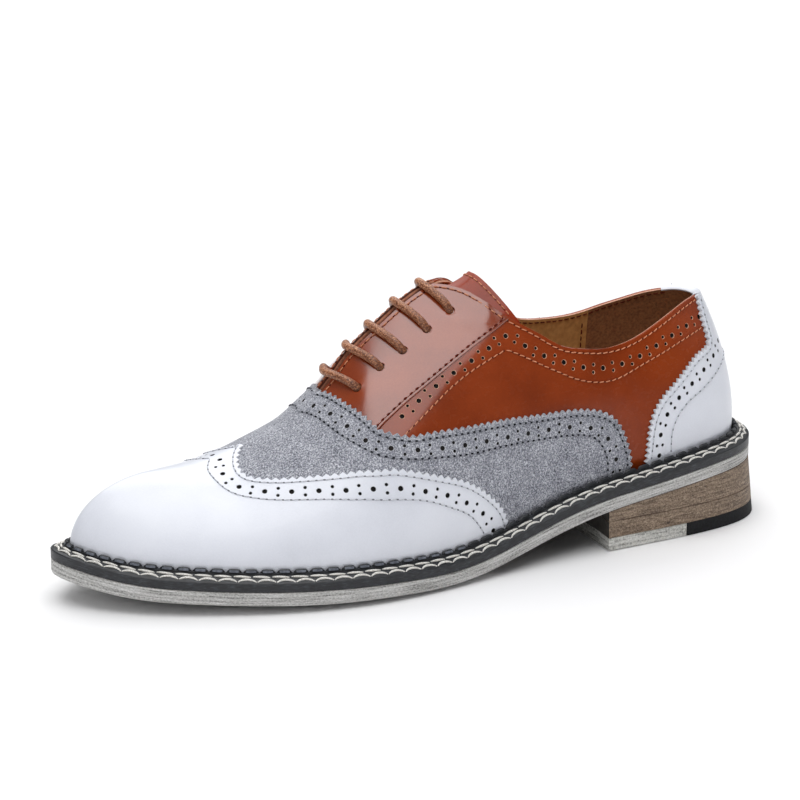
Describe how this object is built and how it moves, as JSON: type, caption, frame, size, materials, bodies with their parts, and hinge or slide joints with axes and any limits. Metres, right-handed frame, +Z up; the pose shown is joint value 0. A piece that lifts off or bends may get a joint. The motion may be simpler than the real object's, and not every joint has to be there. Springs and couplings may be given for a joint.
{
  "type": "brogue oxford shoe",
  "caption": "Left wingtip brogue oxford: hollow leather upper with toe cap, vamp, counter, facings, tongue and straight-bar lacing on a welted leather sole with a stacked heel.",
  "frame": {"origin": "on the floor, under the middle of the shoe's box", "axes": "+X towards the toe, +Y towards the outer side of the foot, +Z up"},
  "size_m": [0.3, 0.1012, 0.1091],
  "materials": {
    "sole_leather": "pale grey burnished edge, matt",
    "welt_leather": "charcoal, semi-matt",
    "sock_leather": "plain light tan",
    "heel_stack": "raw brown stacked leather, matt",
    "toplift": "pale grey, matt",
    "rubber": "black, matt",
    "tan_leather": "glossy tan",
    "white_leather": "smooth, semi-gloss",
    "grey_suede": "napped suede",
    "facing_leather": "glossy tan",
    "tongue_leather": "glossy tan",
    "lace_cord": "round waxed cord"
  },
  "bodies": {
    "root": {"outsole": "sole_leather", "welt": "welt_leather", "insole": "sock_leather", "heel_lift_upper": "heel_stack", "heel_lift_lower": "heel_stack", "toplift_leather": "toplift", "toplift_rubber": "rubber", "upper": "tan_leather", "toe_cap": "white_leather", "vamp": "grey_suede", "counter": "white_leather", "facing_outer": "facing_leather", "facing_inner": "facing_leather", "tongue": "tongue_leather", "lace_bar_1": "lace_cord", "lace_bar_2": "lace_cord", "lace_bar_3": "lace_cord", "lace_bar_4": "lace_cord", "lace_bar_5": "lace_cord"}
  },
  "joints": []
}
